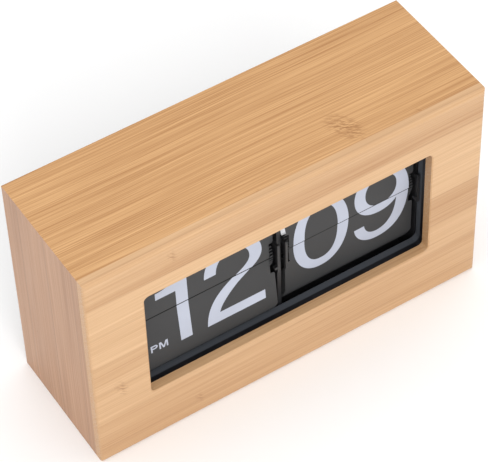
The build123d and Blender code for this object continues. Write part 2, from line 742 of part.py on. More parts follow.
def make_back():
    """Back cover with its slot for the setting wheel, the battery door, screws and the circuit board."""
    nodes = {}
    half = inner_half_width - cover_clearance
    low, high = floor_z + cover_clearance, ceiling_z - cover_clearance
    front, rear = at_depth(cover_front_depth), at_depth(cover_rear_depth)
    plane = Plane(origin=(0, rear, (low + high) / 2), x_dir=(1, 0, 0), z_dir=(0, -1, 0))
    cover = extrude(plane * RectangleRounded(2 * half, high - low, cover_corner_radius), cover_thickness)

    opening_half = tray_inner_half()
    tray_low, tray_high = tray_outer_z()
    opening_z = (tray_low + tray_wall, tray_high - tray_wall)
    cover -= block((-opening_half, opening_half), (front - 1, rear + 1), opening_z)
    door_half = opening_half + door_ledge
    door_z = (opening_z[0] - door_ledge, opening_z[1] + door_ledge)
    recess = door_clearance
    cover -= block(
        (-door_half - recess, door_half + recess), (rear - door_thickness, rear + 1),
        (door_z[0] - recess, door_z[1] + recess),
    )
    wheel_y, wheel_z = mesh_centre(minute_wheel_teeth, setting_pinion_teeth, setting_angle)
    chord = (thumbwheel_radius ** 2 - (front - wheel_y) ** 2) ** 0.5 + 1.2
    slot_x = (motor_face_x - 2 * side_clearance, motor_face_x + thumbwheel_thickness + 2 * side_clearance)
    cover -= block(slot_x, (front - 1, rear + 1), (wheel_z - chord, wheel_z + chord))
    for x, z in corner_places():
        cover -= pin_along_y(x, z, (front - 1, rear + 1), screw_shank_radius)
    board_left = opening_half + tray_wall + 2.0
    board_z = (floor_z + 5.0, floor_z + 5.0 + board_length)
    board_y = front - 2.5
    post_places = [(board_left + 4, board_z[0] + 4), (board_left + board_width - 6, board_z[1] - 4)]
    for x, z in post_places:
        cover += pin_along_y(x, z, (board_y, front), 2.0)
    nodes["back_cover"] = cover
    nodes["back_screws"] = group([screw(x, rear, z, (0, 1, 0), 12.0) for x, z in corner_places()])

    door = block((-door_half, door_half), (rear - door_thickness, rear), door_z)
    middle_z = sum(door_z) / 2
    for step in range(-2, 3):
        ridge_z = middle_z + 1.6 * step
        door += block((-9, 9), (rear - 0.2, rear + 0.6), (ridge_z - 0.4, ridge_z + 0.4))
    nodes["battery_door"] = door

    panel = block((board_left, board_left + board_width), (board_y - board_panel, board_y), board_z)
    nodes["circuit_board"] = panel
    face = board_y - board_panel
    chip = block((board_left + 5, board_left + 11), (face - 1.6, face), (board_z[0] + 9, board_z[0] + 17))
    capacitor = pin_along_y(board_left + 14, board_z[0] + 22, (face - 3.0, face), 2.2)
    crystal_z = (board_z[0] + 20, board_z[0] + 22.5)
    crystal = block((board_left + 4, board_left + 10), (face - 2.0, face), crystal_z)
    nodes["drive_electronics"] = group([chip, capacitor, crystal])
    return nodes


def main():
    """Build every piece and write one STEP file for each node."""
    nodes = {}
    nodes.update(make_box())
    nodes.update(make_bezel())
    nodes.update(make_leaves(hours))
    nodes.update(make_leaves(minutes))
    nodes["hour_drum"] = make_hour_drum()
    nodes["minute_drum"] = make_minute_drum()
    nodes.update(make_gears())
    nodes.update(make_motor())
    nodes.update(make_movement_frame())
    nodes.update(make_battery_parts())
    nodes.update(make_back())
    os.makedirs("parts", exist_ok=True)
    for name, shape in nodes.items():
        export_step(shape, f"parts/{name}.step")


main()
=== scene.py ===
"""Looks of a flip number clock in a bamboo box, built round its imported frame.

All lengths are metres in the frame's own axes: +X right seen from the front, +Y to the back, +Z up.
"""

import json
import logging
import math
from dataclasses import dataclass, field
from enum import Enum
from typing import Iterable, Sequence

import bmesh
import bpy
from mathutils import Matrix, Vector


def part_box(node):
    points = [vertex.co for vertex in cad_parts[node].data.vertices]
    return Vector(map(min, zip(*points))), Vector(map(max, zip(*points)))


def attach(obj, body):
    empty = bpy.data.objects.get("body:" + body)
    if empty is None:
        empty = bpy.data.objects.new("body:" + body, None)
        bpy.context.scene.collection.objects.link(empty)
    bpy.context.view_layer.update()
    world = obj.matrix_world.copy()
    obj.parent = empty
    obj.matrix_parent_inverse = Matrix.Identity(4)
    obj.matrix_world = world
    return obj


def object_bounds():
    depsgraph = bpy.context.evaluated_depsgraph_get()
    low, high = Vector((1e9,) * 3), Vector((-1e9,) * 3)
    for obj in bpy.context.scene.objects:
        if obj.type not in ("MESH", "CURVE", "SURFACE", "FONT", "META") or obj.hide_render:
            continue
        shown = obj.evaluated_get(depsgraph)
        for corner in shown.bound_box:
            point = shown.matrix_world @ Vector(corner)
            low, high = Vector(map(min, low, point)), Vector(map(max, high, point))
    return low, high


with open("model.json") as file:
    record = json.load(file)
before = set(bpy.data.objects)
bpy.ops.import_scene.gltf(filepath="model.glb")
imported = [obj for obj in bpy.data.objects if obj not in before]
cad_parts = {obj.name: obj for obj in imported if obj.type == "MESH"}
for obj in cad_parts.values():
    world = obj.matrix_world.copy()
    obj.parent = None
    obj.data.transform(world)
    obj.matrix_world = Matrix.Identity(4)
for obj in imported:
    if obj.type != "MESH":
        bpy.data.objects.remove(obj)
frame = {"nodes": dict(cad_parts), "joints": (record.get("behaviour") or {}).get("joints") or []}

MM = 0.001
CAD_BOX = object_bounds()
Colour = tuple[float, float, float]
Point = tuple[float, float]
Loop = list[Point]

log = logging.getLogger("flip_clock")


def joint(name: str) -> dict:
    """Find one of the frame's joints by its name."""
    return next(known for known in frame["joints"] if known["name"] == name)


SPLIT_HEIGHT = joint("minute_drum_turn")["pos_m"][2]  # the line between the two halves of a number


# ---------------------------------------------------------------- shader building
class Nodes:
    """A thin layer over a node tree that adds nodes and links them in one call."""

    def __init__(self, tree: bpy.types.NodeTree) -> None:
        """Wrap a material's or a group's node tree."""
        self.tree = tree

    def add(self, kind: str, settings: dict | None = None, **inputs: object) -> bpy.types.Node:
        """Add a node.

        Args:
            kind: Blender's identifier of the node.
            settings: Properties of the node itself.
            **inputs: Socket names, with underscores for spaces, and a value or a socket for each.
                A name such as i0 means the input of that number.

        Returns:
            The new node.
        """
        node = self.tree.nodes.new(kind)
        for name, value in (settings or {}).items():
            setattr(node, name, value)
        for name, value in inputs.items():
            numbered = name[0] == "i" and name[1:].isdigit()
            socket = node.inputs[int(name[1:])] if numbered else node.inputs[name.replace("_", " ")]
            if isinstance(value, bpy.types.NodeSocket):
                self.tree.links.new(value, socket)
            else:
                socket.default_value = value
        return node

    def math(self, operation: str, *values: object) -> bpy.types.NodeSocket:
        """Add a Math node and return its result."""
        inputs = {f"i{index}": value for index, value in enumerate(values)}
        return self.add("ShaderNodeMath", {"operation": operation}, **inputs).outputs[0]

    def mix(self, factor: object, first: object, second: object) -> bpy.types.NodeSocket:
        """Mix two colours by a factor and return the colour."""
        node = self.add("ShaderNodeMix", {"data_type": "RGBA"}, i0=factor, i6=first, i7=second)
        return node.outputs[2]

    def remap(
        self, value: object, low: float, high: float, start: float = 0.0, end: float = 1.0
    ) -> bpy.types.NodeSocket:
        """Remap a value, held at both ends.

        Args:
            value: The socket to remap.
            low: The value that becomes start.
            high: The value that becomes end.
            start: What comes out at low and on its far side.
            end: What comes out at high and on its far side.

        Returns:
            The remapped value.
        """
        names = ("From_Min", "From_Max", "To_Min", "To_Max")
        limits = dict(zip(names, (low, high, start, end)))
        return self.add("ShaderNodeMapRange", Value=value, **limits).outputs[0]

    def noise(self, vector: object, scale: object, detail: float = 2.0) -> bpy.types.NodeSocket:
        """Add a Noise Texture and return its value."""
        return self.add("ShaderNodeTexNoise", Vector=vector, Scale=scale, Detail=detail).outputs[0]

    def place(self) -> bpy.types.NodeSocket:
        """Return where a point lies on the object, in metres."""
        return self.add("ShaderNodeTexCoord").outputs["Object"]

    def axes(self, vector: bpy.types.NodeSocket) -> bpy.types.NodeOutputs:
        """Return a vector's X, Y and Z."""
        return self.add("ShaderNodeSeparateXYZ", Vector=vector).outputs


@dataclass
class Effect:
    """A shader node group that several finishes share."""

    name: str
    inputs: Sequence[tuple[str, str]]
    outputs: Sequence[tuple[str, str]]
    tree: bpy.types.NodeTree = field(init=False)
    nodes: Nodes = field(init=False)
    source: bpy.types.NodeOutputs = field(init=False)
    result: bpy.types.NodeInputs = field(init=False)

    def __post_init__(self) -> None:
        """Make the empty group and its sockets."""
        self.tree = bpy.data.node_groups.new(self.name, "ShaderNodeTree")
        for in_out, sockets in (("INPUT", self.inputs), ("OUTPUT", self.outputs)):
            for label, kind in sockets:
                self.tree.interface.new_socket(label, in_out=in_out, socket_type=f"NodeSocket{kind}")
        self.nodes = Nodes(self.tree)
        self.source = self.nodes.add("NodeGroupInput").outputs
        self.result = self.nodes.add("NodeGroupOutput").inputs

    def give(self, **values: bpy.types.NodeSocket) -> None:
        """Link values to the group's outputs, by their names with underscores for spaces."""
        for name, value in values.items():
            self.tree.links.new(value, self.result[name.replace("_", " ")])

    def place(self, nodes: Nodes, **inputs: object) -> bpy.types.NodeOutputs:
        """Place the group in a material.

        Args:
            nodes: The material's nodes.
            **inputs: Values or sockets for the group's inputs.

        Returns:
            The placed group's outputs.
        """
        return nodes.add("ShaderNodeGroup", {"node_tree": self.tree}, **inputs).outputs


@dataclass(frozen=True)
class Streaks:
    """Noise drawn out along the grain, finer across it than along it."""

    along: float
    across: float
    detail: float
    low: float
    high: float


FINE_FIBRES = Streaks(along=16.0, across=1900.0, detail=3.0, low=0.40, high=0.60)
COARSE_FIBRES = Streaks(along=8.0, across=640.0, detail=2.0, low=0.36, high=0.64)
CLOUDS = Streaks(along=4.0, across=75.0, detail=2.0, low=0.30, high=0.70)


def bamboo_strip_effect() -> Effect:
    """Glued bamboo strips: tone of each strip, its fibres and the seams between strips.

    Returns:
        The group. Its vector has X along the grain, and Y and Z across it, so that the strips also show on
        a board's long edges.
    """
    wander_scale, wander_reach = 6.0, 6.0 * MM
    strip_shift = 7.3
    fine_share = 0.62
    seam_start, strip_edge = 0.47, 0.5
    effect = Effect(
        "bamboo strips",
        [("Vector", "Vector"), ("Strip Width", "Float"), ("Seed", "Float")],
        [("Tone", "Float"), ("Cloud", "Float"), ("Fibre", "Float"), ("Seam", "Float")],
    )
    nodes, source = effect.nodes, effect.source
    axes = nodes.axes(source["Vector"])
    wander = nodes.noise(source["Vector"], wander_scale, 1.0)
    sideways = nodes.math("ADD", axes["Y"], axes["Z"])
    across = nodes.math("MULTIPLY_ADD", wander, wander_reach, sideways)
    place = nodes.math("ADD", nodes.math("DIVIDE", sideways, source["Strip Width"]), source["Seed"])
    strip = nodes.math("FLOOR", place)
    chance = nodes.add("ShaderNodeTexWhiteNoise", {"noise_dimensions": "1D"}, W=strip).outputs["Value"]
    shift = nodes.math("MULTIPLY", chance, strip_shift)

    def drawn(streaks: Streaks) -> bpy.types.NodeSocket:
        """Draw streaks that differ from strip to strip.

        Args:
            streaks: Their fineness and contrast.

        Returns:
            Their tone, from 0 to 1.
        """
        vector = nodes.add(
            "ShaderNodeCombineXYZ",
            X=nodes.math("MULTIPLY_ADD", axes["X"], streaks.along, shift),
            Y=nodes.math("MULTIPLY", across, streaks.across),
            Z=strip,
        ).outputs[0]
        return nodes.remap(nodes.noise(vector, 1.0, streaks.detail), streaks.low, streaks.high)

    fine = nodes.math("MULTIPLY", drawn(FINE_FIBRES), fine_share)
    coarse = nodes.math("MULTIPLY", drawn(COARSE_FIBRES), 1 - fine_share)
    off_middle = nodes.math("ABSOLUTE", nodes.math("SUBTRACT", nodes.math("FRACT", place), strip_edge))
    effect.give(
        Tone=chance,
        Cloud=drawn(CLOUDS),
        Fibre=nodes.math("ADD", fine, coarse),
        Seam=nodes.remap(off_middle, seam_start, strip_edge),
    )
    return effect


def knuckle_effect() -> Effect:
    """Scratchy cluster of short marks where a bamboo cane had a knuckle.

    Returns:
        The group. Its vector and its place have X along the grain and Y across it.
    """
    outline_lean, outline_squeeze = 0.25, 1.7
    ragged_scale, ragged_reach = 500.0, 4.0 * MM
    full_until, gone_at = 0.45, 1.1
    scratch_lean, scratches_along, scratches_across, scratch_detail = 0.5, 300.0, 850.0, 3.0
    bare, marked = 0.46, 0.56
    effect = Effect(
        "bamboo knuckle",
        [("Vector", "Vector"), ("Place", "Vector"), ("Size", "Float")],
        [("Mask", "Float")],
    )
    nodes, source = effect.nodes, effect.source
    subtract, length = {"operation": "SUBTRACT"}, {"operation": "LENGTH"}
    offset = nodes.add("ShaderNodeVectorMath", subtract, i0=source["Vector"], i1=source["Place"])
    axes = nodes.axes(offset.outputs[0])
    leaning = nodes.math("ADD", axes["X"], nodes.math("MULTIPLY", axes["Y"], outline_lean))
    squeezed = nodes.math("MULTIPLY", leaning, outline_squeeze)
    flat = nodes.add("ShaderNodeCombineXYZ", X=squeezed, Y=axes["Y"]).outputs[0]
    ragged = nodes.math("MULTIPLY", nodes.noise(flat, ragged_scale), ragged_reach)
    away = nodes.add("ShaderNodeVectorMath", length, i0=flat).outputs["Value"]
    reach = nodes.math("DIVIDE", nodes.math("ADD", away, ragged), source["Size"])
    near = nodes.remap(reach, full_until, gone_at, 1.0, 0.0)
    slanted = nodes.math("ADD", axes["Y"], nodes.math("MULTIPLY", axes["X"], scratch_lean))
    scratch = nodes.add(
        "ShaderNodeCombineXYZ",
        X=nodes.math("MULTIPLY", axes["X"], scratches_along),
        Y=nodes.math("MULTIPLY", slanted, scratches_across),
    ).outputs[0]
    marks = nodes.remap(nodes.noise(scratch, 1.0, scratch_detail), bare, marked)
    effect.give(Mask=nodes.math("MULTIPLY", near, marks))
    return effect


def moulded_effect() -> Effect:
    """Fine grain and slow handling marks of moulded plastic, printed sheet or a plated surface.

    Returns:
        The group, with a fine height and a slow, cloudy mask.
    """
    grain_detail, cloud_detail = 3.0, 4.0
    cloud_low, cloud_high = 0.3, 0.7
    effect = Effect(
        "moulded surface",
        [("Vector", "Vector"), ("Grain Scale", "Float"), ("Cloud Scale", "Float")],
        [("Height", "Float"), ("Cloud", "Float")],
    )
    nodes, source = effect.nodes, effect.source
    grain = nodes.noise(source["Vector"], source["Grain Scale"], grain_detail)
    cloud = nodes.noise(source["Vector"], source["Cloud Scale"], cloud_detail)
    effect.give(Height=grain, Cloud=nodes.remap(cloud, cloud_low, cloud_high))
    return effect


BAMBOO_STRIPS = bamboo_strip_effect()
KNUCKLE = knuckle_effect()
MOULDED = moulded_effect()


def new_material(name: str) -> tuple[bpy.types.Material, Nodes, bpy.types.Node]:
    """Make a material with a Principled BSDF.

    Args:
        name: The material's name.

    Returns:
        The material, its nodes and its Principled BSDF.
    """
    material = bpy.data.materials.new(name)
    material.use_nodes = True
    tree = material.node_tree
    return material, Nodes(tree), tree.nodes["Principled BSDF"]


def reopened(
    material: bpy.types.Material, axis: str
) -> tuple[Nodes, bpy.types.Node, bpy.types.NodeSocket, bpy.types.NodeSocket]:
    """Open a built material again, to work one more tone into its colour.

    Args:
        material: The material.
        axis: The axis along which the tone changes, X, Y or Z.

    Returns:
        Its nodes, its Principled BSDF, its colour so far and the place along the axis.
    """
    nodes = Nodes(material.node_tree)
    shader = material.node_tree.nodes["Principled BSDF"]
    colour = shader.inputs["Base Color"].links[0].from_socket
    place = nodes.place()
    return nodes, shader, colour, nodes.axes(place)[axis]


def join(nodes: Nodes, shader: bpy.types.Node, **sockets: bpy.types.NodeSocket) -> None:
    """Link values to a shader's inputs, by their names with underscores for spaces."""
    for name, value in sockets.items():
        nodes.tree.links.new(value, shader.inputs[name.replace("_", " ")])


def bumped(nodes: Nodes, height: bpy.types.NodeSocket, depth: float) -> bpy.types.NodeSocket:
    """Normal for a height that runs from 0 to 1 over a depth in metres."""
    return nodes.add("ShaderNodeBump", Height=height, Distance=depth, Strength=1.0).outputs[0]


def rgba(colour: Colour) -> tuple[float, float, float, float]:
    """Colour with full alpha."""
    return (*colour, 1.0)


def shaded(colour: Colour, share: float) -> tuple[float, float, float, float]:
    """Colour made lighter or darker by a share of itself, with full alpha."""
    return tuple(min(1.0, part * share) for part in colour) + (1.0,)


# ---------------------------------------------------------------- finishes
class Grain(Enum):
    """Which way a board's grain runs, and which way its strips lie beside each other."""

    ALONG_ON_FRONT = ("X", "Z")
    ALONG_ON_TOP = ("X", "Y")
    UPRIGHT = ("Z", "Y")


@dataclass(frozen=True)
class BambooFinish:
    """Lacquered bamboo board of glued strips.

    A knuckle is a place along the grain, a place across it and a size.
    """

    name: str
    grain: Grain
    light: Colour
    dark: Colour
    strip_width: float
    seed: float = 0.0
    strip_share: float = 0.25
    cloud_share: float = 0.30
    seam_depth: float = 0.15
    seam_shade: float = 0.60
    knuckles: tuple[tuple[float, float, float], ...] = ()
    knuckle_depth: float = 0.85
    knuckle_shade: float = 0.88
    pore_scale: float = 1900.0
    pore_shades: tuple[float, float] = (1.25, 0.80)
    roughness: float = 0.42
    groove_depth: float = 0.04 * MM
    lacquer: float = 0.12
    lacquer_roughness: float = 0.35

    def glued(self, nodes: Nodes, strips: bpy.types.NodeOutputs) -> bpy.types.NodeSocket:
        """Colour the strips and the seams between them.

        Args:
            nodes: The material's nodes.
            strips: Outputs of the bamboo strip effect.

        Returns:
            The colour.
        """
        fibre_share = 1 - self.strip_share - self.cloud_share
        tone = nodes.math("MULTIPLY", strips["Tone"], self.strip_share)
        tone = nodes.math("MULTIPLY_ADD", strips["Cloud"], self.cloud_share, tone)
        tone = nodes.math("MULTIPLY_ADD", strips["Fibre"], fibre_share, tone)
        colour = nodes.mix(tone, rgba(self.dark), rgba(self.light))
        seam = nodes.math("MULTIPLY", strips["Seam"], self.seam_depth)
        return nodes.mix(seam, colour, shaded(self.dark, self.seam_shade))

    def knuckled(
        self, nodes: Nodes, vector: bpy.types.NodeSocket, colour: bpy.types.NodeSocket
    ) -> bpy.types.NodeSocket:
        """Darken the knuckles.

        Args:
            nodes: The material's nodes.
            vector: Place on the board, along the grain first.
            colour: The colour so far.

        Returns:
            The colour with its knuckles.
        """
        for along, across, size in self.knuckles:
            spot = KNUCKLE.place(nodes, Vector=vector, Place=(along, across, 0.0), Size=size)
            depth = nodes.math("MULTIPLY", spot["Mask"], self.knuckle_depth)
            colour = nodes.mix(depth, colour, shaded(self.dark, self.knuckle_shade))
        return colour

    def end_grained(
        self, nodes: Nodes, place: bpy.types.NodeSocket, colour: bpy.types.NodeSocket
    ) -> bpy.types.NodeSocket:
        """Show dark pores instead of fibres where a face looks along the grain.

        Args:
            nodes: The material's nodes.
            place: Place on the board.
            colour: The colour so far.

        Returns:
            The colour with its end grain.
        """
        slanted, square_on = 0.55, 0.95
        pore, solid = 0.36, 0.64
        normal = nodes.add("ShaderNodeTexCoord").outputs["Normal"]
        facing = nodes.axes(normal)[self.grain.value[0]]
        end = nodes.remap(nodes.math("ABSOLUTE", facing), slanted, square_on)
        pores = nodes.remap(nodes.noise(place, self.pore_scale, 2.0), pore, solid)
        pore_shade, solid_shade = self.pore_shades
        cut = nodes.mix(pores, shaded(self.dark, pore_shade), shaded(self.light, solid_shade))
        return nodes.mix(end, colour, cut)

    def material(self) -> bpy.types.Material:
        """Build the material.

        Returns:
            The material, with its strips laid along the board's grain.
        """
        duller, glossier, seam_groove = 0.08, 0.05, 0.5
        material, nodes, shader = new_material(self.name)
        place = nodes.place()
        axes = nodes.axes(place)
        along, across = self.grain.value
        rest = ({"X", "Y", "Z"} - {along, across}).pop()
        turned = {"X": axes[along], "Y": axes[across], "Z": axes[rest]}
        vector = nodes.add("ShaderNodeCombineXYZ", **turned).outputs[0]
        strips = BAMBOO_STRIPS.place(nodes, Vector=vector, Strip_Width=self.strip_width, Seed=self.seed)
        colour = self.glued(nodes, strips)
        colour = self.knuckled(nodes, vector, colour)
        colour = self.end_grained(nodes, place, colour)
        rough = nodes.remap(strips["Fibre"], 0.0, 1.0, self.roughness + duller, self.roughness - glossier)
        sunk = nodes.math("MULTIPLY", strips["Seam"], seam_groove)
        grooves = nodes.math("SUBTRACT", strips["Fibre"], sunk)
        normal = bumped(nodes, grooves, self.groove_depth)
        join(nodes, shader, Base_Color=colour, Roughness=rough, Normal=normal)
        shader.inputs["Coat Weight"].default_value = self.lacquer
        shader.inputs["Coat Roughness"].default_value = self.lacquer_roughness
        return material


@dataclass(frozen=True)
class MouldedFinish:
    """Moulded plastic, printed sheet, enamel or solder mask: a colour with grain and handling marks."""

    name: str
    colour: Colour
    roughness: float = 0.5
    roughness_spread: float = 0.06
    grain_scale: float = 2600.0
    grain_depth: float = 0.02 * MM
    cloud_scale: float = 30.0
    variation: float = 0.14
    metallic: float = 0.0

    def material(self) -> bpy.types.Material:
        """Build the material.

        Returns:
            The material.
        """
        material, nodes, shader = new_material(self.name)
        place = nodes.place()
        scales = {"Grain_Scale": self.grain_scale, "Cloud_Scale": self.cloud_scale}
        surface = MOULDED.place(nodes, Vector=place, **scales)
        low, high = shaded(self.colour, 1 - self.variation), shaded(self.colour, 1 + self.variation)
        colour = nodes.mix(surface["Cloud"], low, high)
        least, most = self.roughness - self.roughness_spread, self.roughness + self.roughness_spread
        rough = nodes.remap(surface["Cloud"], 0.0, 1.0, least, most)
        normal = bumped(nodes, surface["Height"], self.grain_depth)
        join(nodes, shader, Base_Color=colour, Roughness=rough, Normal=normal)
        shader.inputs["Metallic"].default_value = self.metallic
        return material


@dataclass(frozen=True)
class LeafFinish(MouldedFinish):
    """Satin film of the leaves, with painted shadow: near black along the edge that lies at the split,
    standing for the shade in the gap between the halves.
    """

    split: float = 0.0
    # painted shadow along the split: full this near the split, gone this far away, in this colour
    edge_full: float = 0.42 * MM
    edge_end: float = 0.60 * MM
    edge_colour: Colour = (0.002, 0.002, 0.002)
    specular: float = 0.28

    def material(self) -> bpy.types.Material:
        """Build the material.

        Returns:
            The moulded material with painted shadow along the split worked into its colour.
        """
        material = super().material()
        nodes, shader, plain, height = reopened(material, "Z")
        # painted shadow: near black along the split, standing for the shade in the gap between the leaves
        away = nodes.math("ABSOLUTE", nodes.math("SUBTRACT", height, self.split))
        edge = nodes.remap(away, self.edge_full, self.edge_end, 1.0, 0.0)
        join(nodes, shader, Base_Color=nodes.mix(edge, plain, rgba(self.edge_colour)))
        shader.inputs["Specular IOR Level"].default_value = self.specular
        return material


@dataclass(frozen=True)
class BezelFinish(MouldedFinish):
    """Black moulding whose ledge behind the front lip is painted greyer: a painted highlight standing for
    light falling on the upward ledge.
    """

    # painted highlight: colour of the lit ledge
    ledge: Colour = (0.070, 0.077, 0.090)
    lip_back: float = 0.0
    blend: float = 0.5 * MM

    def material(self) -> bpy.types.Material:
        """Build the material.

        Returns:
            The moulded material with its ledge painted greyer as a painted highlight.
        """
        material = super().material()
        nodes, shader, plain, depth = reopened(material, "Y")
        # painted highlight: greyer colour behind the lip, where light falls on the ledge
        ledge_highlight_mask = nodes.remap(depth, self.lip_back - self.blend / 2, self.lip_back + self.blend / 2)
        join(nodes, shader, Base_Color=nodes.mix(ledge_highlight_mask, plain, rgba(self.ledge)))
        return material


@dataclass(frozen=True)
class DrawnMetalFinish:
    """Turned or drawn metal with fine lines round the X axis."""

    name: str
    colour: Colour
    roughness: float = 0.3
    line_scale: float = 4000.0
    length_scale: float = 250.0
    cloud_scale: float = 0.05
    line_depth: float = 0.01 * MM

    def material(self) -> bpy.types.Material:
        """Build the material.

        Returns:
            The material.
        """
        darker, lighter = 0.82, 1.08
        line_low, line_high = 0.2, 0.8
        glossier, duller = 0.08, 0.12
        material, nodes, shader = new_material(self.name)
        place = nodes.place()
        stretch = (self.line_scale, self.length_scale, self.length_scale)
        drawn = nodes.add("ShaderNodeMapping", Vector=place, Scale=stretch).outputs[0]
        surface = MOULDED.place(nodes, Vector=drawn, Grain_Scale=1.0, Cloud_Scale=self.cloud_scale)
        colour = nodes.mix(surface["Cloud"], shaded(self.colour, darker), shaded(self.colour, lighter))
        least, most = self.roughness - glossier, self.roughness + duller
        rough = nodes.remap(surface["Height"], line_low, line_high, least, most)
        normal = bumped(nodes, surface["Height"], self.line_depth)
        join(nodes, shader, Base_Color=colour, Roughness=rough, Normal=normal)
        shader.inputs["Metallic"].default_value = 1.0
        return material


@dataclass(frozen=True)
class CellFinish:
    """Printed sleeve of a dry cell: a dark body with a warm band at its positive end."""

    name: str
    body: Colour = (0.012, 0.016, 0.022)
    band: Colour = (0.55, 0.24, 0.07)
    band_share: float = 0.30
    cell_length: float = 50.5 * MM
    wear_colour: Colour = (0.5, 0.5, 0.5)
    wear_share: float = 0.12
    roughness: tuple[float, float] = (0.24, 0.34)
    grain_scale: float = 1500.0
    grain_depth: float = 0.01 * MM
    cloud_scale: float = 60.0

    def material(self) -> bpy.types.Material:
        """Build the material.

        Returns:
            The material, whose bands repeat with the cells along X.
        """
        material, nodes, shader = new_material(self.name)
        place = nodes.place()
        along = nodes.axes(place)["X"]
        share = nodes.math("FRACT", nodes.math("DIVIDE", along, self.cell_length))
        band = nodes.math("GREATER_THAN", share, 1 - self.band_share)
        scales = {"Grain_Scale": self.grain_scale, "Cloud_Scale": self.cloud_scale}
        surface = MOULDED.place(nodes, Vector=place, **scales)
        sleeve = nodes.mix(band, rgba(self.body), rgba(self.band))
        wear = nodes.math("MULTIPLY", surface["Cloud"], self.wear_share)
        colour = nodes.mix(wear, sleeve, rgba(self.wear_colour))
        rough = nodes.remap(surface["Cloud"], 0.0, 1.0, *self.roughness)
        normal = bumped(nodes, surface["Height"], self.grain_depth)
        join(nodes, shader, Base_Color=colour, Roughness=rough, Normal=normal)
        return material


FRONT_BAMBOO = BambooFinish(
    "bamboo, front board", Grain.ALONG_ON_FRONT, light=(0.745, 0.488, 0.268), dark=(0.440, 0.226, 0.094),
    strip_width=19.0 * MM, seed=0.35, strip_share=0.30, cloud_share=0.36,
    knuckles=((-0.0597, 0.1130, 0.0060), (-0.0891, 0.0448, 0.0075), (-0.0507, 0.0106, 0.0060)),
)
TOP_BAMBOO = BambooFinish(
    "bamboo, top and bottom boards", Grain.ALONG_ON_TOP, light=(0.715, 0.415, 0.180),
    dark=(0.370, 0.160, 0.044), strip_width=17.0 * MM, seed=0.1, strip_share=0.08, cloud_share=0.24,
    seam_depth=0.0,
    knuckles=((0.0381, -0.0185, 0.0135), (-0.0136, -0.0315, 0.0060), (0.0702, -0.0295, 0.0050)),
)
# Darker and redder than the front board: partly the boards' own tone, partly painted shade of the side faces
# turned from the light.
SHADED_SIDE_BAMBOO = BambooFinish(
    "bamboo, side boards, partly painted shade", Grain.UPRIGHT, light=(0.585, 0.320, 0.172), dark=(0.330, 0.153, 0.068),
    strip_width=23.0 * MM, seed=0.5, strip_share=0.25, cloud_share=0.35, seam_depth=0.35,
    knuckles=((0.0400, 0.0180, 0.0035),),
)
PLAIN_WOOD = BambooFinish(
    "plain softwood", Grain.UPRIGHT, light=(0.62, 0.45, 0.27), dark=(0.50, 0.34, 0.18),
    strip_width=50.0 * MM, strip_share=0.1,
)
BEZEL_BLACK = BezelFinish(
    "bezel, black moulding, painted ledge highlight", (0.007, 0.007, 0.009), roughness=0.36, grain_scale=1800.0,
    lip_back=(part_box("bezel_frame")[0].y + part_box("bezel_frame")[1].y) / 2,
)
COVER_BLACK = MouldedFinish(
    "back cover, black moulding", (0.018, 0.018, 0.019), roughness=0.52, grain_scale=1400.0
)
PLATE_BLACK = MouldedFinish("side plates, black moulding", (0.020, 0.020, 0.022), roughness=0.46)
CATCH_BLACK = MouldedFinish("leaf catches, black strip", (0.016, 0.016, 0.017), roughness=0.36)
DRUM_BLACK = MouldedFinish("drums, black moulding", (0.024, 0.024, 0.026), roughness=0.44)
LEAF_BLACK = LeafFinish(
    "leaves, satin black film, painted split shadow", (0.047, 0.0475, 0.049), roughness=0.50, grain_scale=3600.0,
    grain_depth=0.008 * MM, cloud_scale=18.0, variation=0.10, split=SPLIT_HEIGHT,
)
PRINT_WHITE = MouldedFinish(
    "numerals, screen print", (0.48, 0.51, 0.60), roughness=0.55, grain_scale=5200.0,
    grain_depth=0.005 * MM, cloud_scale=45.0, variation=0.05,
)
GEAR_WHITE = MouldedFinish("wheels, white nylon", (0.68, 0.67, 0.62), roughness=0.42, variation=0.06)
BOARD_GREEN = MouldedFinish(
    "circuit board, solder mask", (0.02, 0.12, 0.05), roughness=0.30, grain_scale=900.0
)
CHIP_BLACK = MouldedFinish(
    "drive electronics, moulded", (0.022, 0.022, 0.024), roughness=0.40, grain_scale=4200.0
)
BRASS = DrawnMetalFinish("turned brass", (0.72, 0.50, 0.20), roughness=0.26)
BRIGHT_STEEL = DrawnMetalFinish("bright steel", (0.66, 0.67, 0.69), roughness=0.20)
SCREW_STEEL = DrawnMetalFinish("screws, zinc plated", (0.50, 0.51, 0.53), roughness=0.32)
CONTACT_STEEL = DrawnMetalFinish("contacts, nickel plated", (0.68, 0.66, 0.62), roughness=0.24)
MOTOR_STEEL = DrawnMetalFinish("motor can, plated steel", (0.58, 0.58, 0.58), roughness=0.30)
CELL_SLEEVE = CellFinish("dry cell sleeve")
FLOOR_PAPER = MouldedFinish(
    "studio floor, white paper", (0.97, 0.97, 0.97), roughness=0.9, cloud_scale=2.0, variation=0.01
)


# ---------------------------------------------------------------- mesh helpers
def dress(material: bpy.types.Material, *names: str) -> None:
    """Give CAD nodes a material in every one of their slots.

    Args:
        material: The finish's material.
        *names: Names of the CAD nodes.

    Raises:
        ValueError: If a node has no slot to take the material.
    """
    for name in names:
        node = frame["nodes"][name]
        if not node.material_slots:
            raise ValueError(f"{name} has no material slot")
        for slot in node.material_slots:
            slot.link = "OBJECT"
            slot.material = material
        log.info("%s wears %s", name, material.name)


